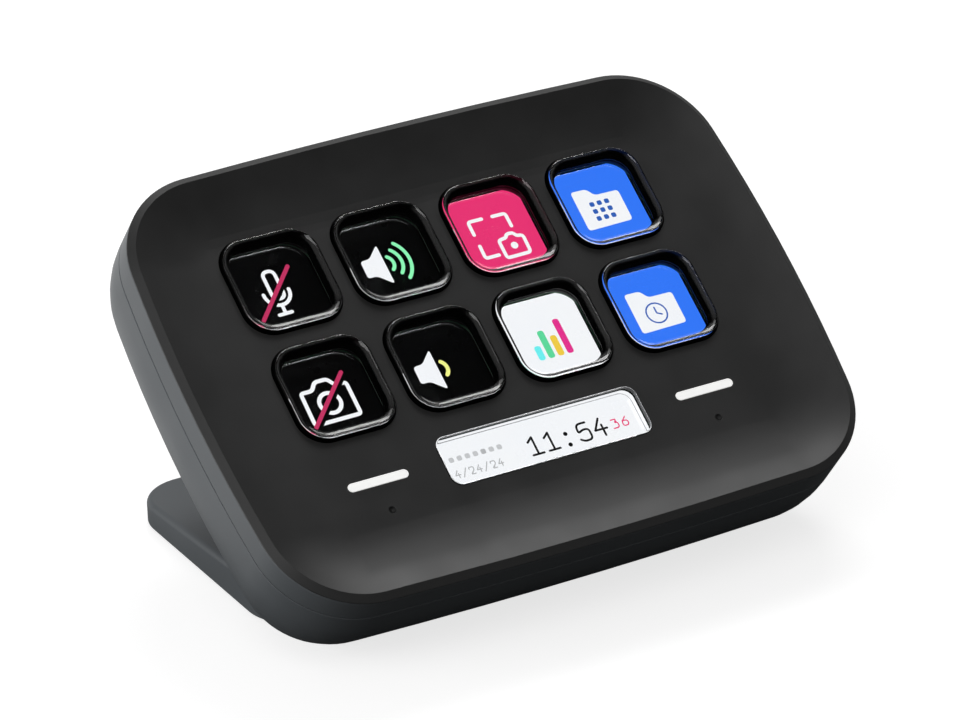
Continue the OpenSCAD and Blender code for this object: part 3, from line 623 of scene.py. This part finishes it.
# strokes of the numerals, in a cell one wide and one high
numerals = {
    "1": [[(0.05, 0.76), (0.5, 1.0)], [(0.5, 1.0), (0.5, 0.0)], [(0.03, 0.0), (0.97, 0.0)]],
    "2": [[(0.03, 0.76), (0.03, 1.0), (0.97, 1.0), (0.97, 0.55), (0.03, 0.0), (1.0, 0.0)]],
    "3": [[(0.03, 1.0), (0.92, 1.0), (0.45, 0.6), (0.97, 0.6), (0.97, 0.0), (0.0, 0.0)]],
    "4": [[(0.66, 1.0), (0.02, 0.38)], [(0.02, 0.38), (1.05, 0.38)], [(0.7, 0.62), (0.7, 0.0)]],
    "5": [[(0.92, 1.0), (0.1, 1.0), (0.05, 0.48), (0.5, 0.64),
           (1.0, 0.6), (1.0, 0.0), (0.3, -0.02), (0.0, 0.12)]],
    "6": [[(0.8, 1.0), (0.03, 0.5), (0.03, 0.0), (0.97, 0.0), (0.97, 0.58), (0.1, 0.58)]],
    "/": [[(0.0, -0.08), (1.0, 1.08)]],
}
numeralCorners = {"straight": "14/", "tight": 0.05, "wide": 0.28}  # corner sizes for a numeral one high


def figures(text, x, y, width, height, pitch, strokeWidth, colour):
    shapes = []
    for i, letter in enumerate(text):
        corner = height * numeralCorners["tight" if letter in numeralCorners["straight"] else "wide"]
        for path in numerals[letter]:
            places = [(x + i * pitch + u * width, y + v * height) for u, v in path]
            shapes.append(line(places, colour, 1, strokeWidth, corner))
    return shapes


infoShapes = [
    *figures("11", -2.0, -1.76, 2.06, 3.02, 2.9, 0.36, "ink"),
    disc(4.75, 0.25, 0.36, "ink"), disc(4.75, -1.7, 0.36, "ink"),
    *figures("54", 6.8, -1.76, 2.06, 3.02, 2.95, 0.36, "ink"),
    *figures("36", 13.0, -1.1, 1.05, 1.5, 1.75, 0.2, "pink"),
    *figures("4/24/24", -15.7, -2.0, 0.82, 1.22, 1.27, 0.17, "grey"),
    *[plate(-15.2 + 1.42 * i, 1.15, 0.85, 0.85, "grey" if i == 4 else "paleGrey", 1, 0.3) for i in range(7)],
]


def makeImage(name, ground, shapes, x, y):
    bm = bmesh.new()
    allShapes = [ground] + shapes
    colours = sorted({colour for *_, colour, _ in allShapes})
    for kind, data, colour, layer in allShapes:
        addShape(bm, kind, data, image["panel"] + layer * image["layer"], colours.index(colour))
    bmesh.ops.recalc_face_normals(bm, faces=bm.faces)
    placeOnFace(bm, x, y)
    addPiece(name, bm, "housing", "display_glass", *[imageFinish[colour] for colour in colours])


def groundOf(colour):
    size = image["width"], image["height"]
    return plate(image["patchX"], image["patchY"], *size, colour, 0, image["corner"])


for i, shapes in enumerate(icons):
    x, y = keyPlace(i)
    makeImage(f"key_image_{i + 1}", groundOf(grounds[i]), shapes, x + image["shiftX"], y + image["shiftY"])
infoGround = plate(0, 0, image["infoLength"], image["infoHeight"], "white", 0, image["infoCorner"])
makeImage("info_image", infoGround, infoShapes, 0, lens["middleY"])
print("display images made")


# the floor's paper, the backdrop and the light of the room
studio = {
    "floorSize": 6.0, "floorColour": "#b4b4b4", "floorUnseen": "#4c4c4c", "floorRough": 0.9,
    "floorLift": (0.75, 0.96), "liftReach": (0.2, 1.2),
    "floorGleam": 1.1, "gleamAcross": (-0.9, 0.45, 0), "gleamFrom": 0.045, "gleamTo": 0.085,
    "backdrop": 1.25, "ambient": 0.30, "horizon": 0.6, "overhead": 0.008, "fadeFrom": 0.15, "fadeTo": 0.6,
}
# soft glows that only reflections see: where to, the cosines where each starts and is full, and its strength
glows = {
    "above": {"toward": (-0.35, -0.2, 0.93), "edge": 0.8, "full": 0.98, "strength": 0.5},
    "behind": {"toward": (0.40, 0.46, 0.79), "edge": 0.86, "full": 0.97, "strength": 1.2},
    "crown": {"toward": (0.01, 0.34, 0.94), "edge": 0.982, "full": 0.9945, "strength": 2.2},
    "rightBack": {"toward": (0.66, 0.25, 0.70), "edge": 0.988, "full": 0.996, "strength": 3.0},
}
# where each lamp stands as seen from the object, how far, its size and its power
lamps = {
    "topBack": {"toward": (0.30, 0.44, 0.85), "far": 0.8, "size": (0.42, 0.26), "power": 2.1},
    "leftSide": {"toward": (-0.95, 0.1, 0.28), "far": 0.9, "size": (0.7, 0.4), "power": 4.3},
    "topFront": {"toward": (-0.45, -0.45, 0.77), "far": 0.9, "size": (0.5, 0.4), "power": 1.4},
}
lampAim = Vector((0, 0, 0.03))


def makeLamps():
    for name, lamp in lamps.items():
        data = bpy.data.lights.new(name, "AREA")
        data.shape = "RECTANGLE"
        data.size, data.size_y = lamp["size"]
        data.energy = lamp["power"]
        light = bpy.data.objects.new(name, data)
        light.location = Vector(lamp["toward"]).normalized() * lamp["far"] + lampAim
        light.rotation_euler = aimed(light.location, lampAim)
        bpy.context.scene.collection.objects.link(light)


def addMath(tree, operation, first, second):
    node = tree.nodes.new("ShaderNodeMath")
    node.operation = operation
    for socket, value in zip(node.inputs, (first, second)):
        if isinstance(value, (int, float)):
            socket.default_value = value
        else:
            tree.links.new(value, socket)
    return node.outputs[0]


def addDot(tree, place, direction):
    dot = tree.nodes.new("ShaderNodeVectorMath")
    dot.operation = "DOT_PRODUCT"
    dot.inputs[1].default_value = direction
    tree.links.new(place, dot.inputs[0])
    return dot.outputs["Value"]


def addFade(tree, value, start, end, low, high, smooth=True):
    fade = tree.nodes.new("ShaderNodeMapRange")
    if smooth:
        fade.interpolation_type = "SMOOTHSTEP"
    fade.inputs["From Min"].default_value = start
    fade.inputs["From Max"].default_value = end
    fade.inputs["To Min"].default_value = low
    fade.inputs["To Max"].default_value = high
    tree.links.new(value, fade.inputs["Value"])
    return fade.outputs["Result"]


def addGlow(tree, place, glow):
    cosine = addDot(tree, place, Vector(glow["toward"]).normalized())
    return addFade(tree, cosine, glow["edge"], glow["full"], 0, glow["strength"])


def makeWorld():
    world = bpy.data.worlds.new("studio")
    bpy.context.scene.world = world
    world.use_nodes = True
    tree = world.node_tree
    tree.nodes.clear()
    rays = tree.nodes.new("ShaderNodeLightPath").outputs
    place = tree.nodes.new("ShaderNodeTexCoord").outputs["Generated"]
    split = tree.nodes.new("ShaderNodeSeparateXYZ")
    tree.links.new(place, split.inputs["Vector"])
    ends = studio["fadeFrom"], studio["fadeTo"]  # the pale backdrop gives way to a dim ceiling
    light = addFade(tree, split.outputs["Z"], *ends, studio["horizon"], studio["overhead"])
    for glow in glows.values():
        light = addMath(tree, "ADD", light, addGlow(tree, place, glow))
    mirrored = addMath(tree, "MAXIMUM", rays["Is Glossy Ray"], rays["Is Transmission Ray"])
    seen = addMath(tree, "MULTIPLY", mirrored, light)
    other = addMath(tree, "MULTIPLY", addMath(tree, "SUBTRACT", 1.0, mirrored), studio["ambient"])
    around = addMath(tree, "ADD", seen, other)
    backdrop = addMath(tree, "MULTIPLY", rays["Is Camera Ray"], studio["backdrop"])
    back = tree.nodes.new("ShaderNodeBackground")
    tree.links.new(addMath(tree, "MAXIMUM", backdrop, around), back.inputs["Strength"])
    out = tree.nodes.new("ShaderNodeOutputWorld")
    tree.links.new(back.outputs["Background"], out.inputs["Surface"])


def makeFloorPaper():
    paper = bpy.data.materials.new("floorPaper")
    paper.use_nodes = True
    tree = paper.node_tree
    shader = tree.nodes["Principled BSDF"]
    shader.inputs["Roughness"].default_value = studio["floorRough"]
    shader.inputs["Specular IOR Level"].default_value = 0.0
    shader.inputs["Emission Color"].default_value = (1, 1, 1, 1)
    rays = tree.nodes.new("ShaderNodeLightPath").outputs
    place = tree.nodes.new("ShaderNodeTexCoord").outputs["Object"]
    seen = rays["Is Camera Ray"]  # pale to the camera, dark to the object
    colour = addMix(tree, seen, shade(studio["floorUnseen"]), shade(studio["floorColour"]))
    tree.links.new(colour, shader.inputs["Base Color"])
    across = addDot(tree, place, studio["gleamAcross"])
    gleam = addFade(tree, across, studio["gleamFrom"], studio["gleamTo"], 0, studio["floorGleam"])
    mirrored = addMath(tree, "MULTIPLY", rays["Is Glossy Ray"], gleam)  # painted glow on a strip of the paper, seen only in reflections: the left wall mirrors it as lit paper
    away = tree.nodes.new("ShaderNodeVectorMath")
    away.operation = "LENGTH"
    tree.links.new(place, away.inputs[0])
    ends = studio["liftReach"] + studio["floorLift"]  # the paper turns white away from the object
    paler = addFade(tree, away.outputs["Value"], *ends, smooth=False)
    lift = addMath(tree, "ADD", addMath(tree, "MULTIPLY", seen, paler), mirrored)
    tree.links.new(lift, shader.inputs["Emission Strength"])
    return paper


def makeFloor():
    bm = bmesh.new()
    bmesh.ops.create_grid(bm, x_segments=1, y_segments=1, size=studio["floorSize"] / 2)
    mesh = meshOf("floor", bm)
    mesh.materials.append(makeFloorPaper())
    floor = bpy.data.objects.new("floor", mesh)
    bpy.context.scene.collection.objects.link(floor)


makeLamps()
makeWorld()
makeFloor()
bpy.context.scene.view_settings.view_transform = "Standard"
print("studio made")
